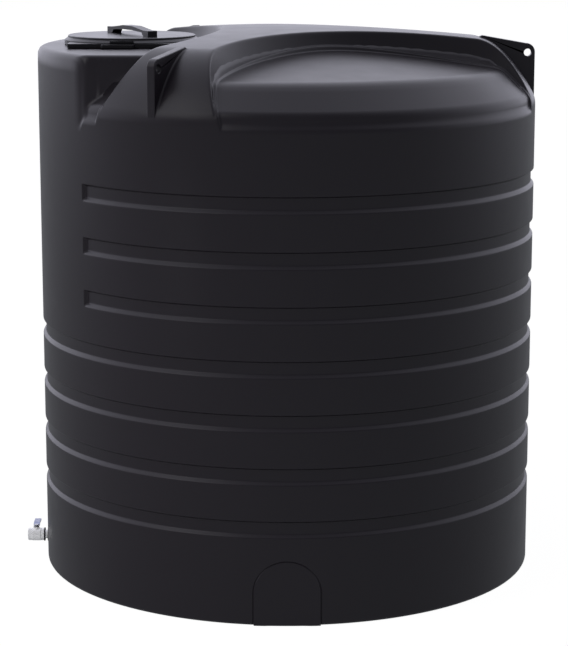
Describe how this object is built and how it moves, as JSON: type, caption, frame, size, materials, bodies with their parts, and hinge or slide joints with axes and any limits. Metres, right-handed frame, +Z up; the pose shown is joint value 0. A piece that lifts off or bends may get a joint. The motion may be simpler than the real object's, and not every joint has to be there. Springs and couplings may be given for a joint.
{
  "type": "rainwater tank",
  "caption": "Round moulded plastic rainwater tank with grooved wall, buttressed roof, lift-off manhole lid with strap handle, and a lever ball valve at the foot.",
  "frame": {"origin": "on the tank's axis, at the underside of its base", "axes": "+Z up along the tank's axis, the manhole and the valve lie towards -X, the flat pad towards -Y"},
  "size_m": [1.932, 1.85, 2.026],
  "materials": {
    "tank_plastic": "satin black moulded polyethylene",
    "collar_plastic": "satin black moulded plastic",
    "lid_plastic": "satin black moulded plastic",
    "handle_plastic": "black moulded plastic",
    "rubber": "black rubber",
    "nickel": "satin nickel plate",
    "brass": "machined brass",
    "steel": "stainless steel",
    "seat_plastic": "white sealing plastic",
    "sleeve_plastic": "pale blue dipped vinyl"
  },
  "bodies": {
    "tank": {"tank_shell": "tank_plastic", "manhole_collar": "collar_plastic", "collar_gasket": "rubber", "collar_screws": "steel", "outlet_insert": "brass", "outlet_washer": "rubber", "outlet_nipple": "nickel", "lock_ring": "rubber", "valve_body": "nickel", "valve_end_cap": "nickel", "seat_inner": "seat_plastic", "seat_outer": "seat_plastic", "stem_packing": "seat_plastic", "gland_nut": "nickel"},
    "lid": {"lid": "lid_plastic", "lid_seal": "rubber", "lid_handle": "handle_plastic", "handle_screws": "steel"},
    "tap_lever": {"valve_ball": "nickel", "valve_stem": "steel", "lever": "steel", "lever_sleeve": "sleeve_plastic", "lever_nut": "steel"}
  },
  "joints": [
    {"name": "lid_lift", "type": "slide", "parent": "tank", "child": "lid", "axis": [0, 0, 1], "range_m": [0, 0.25]},
    {"name": "tap_turn", "type": "hinge", "parent": "tank", "child": "tap_lever", "pos_m": [-0.976, 0, 0.058], "axis": [0, 0, 1], "range_deg": [0, 90]}
  ]
}
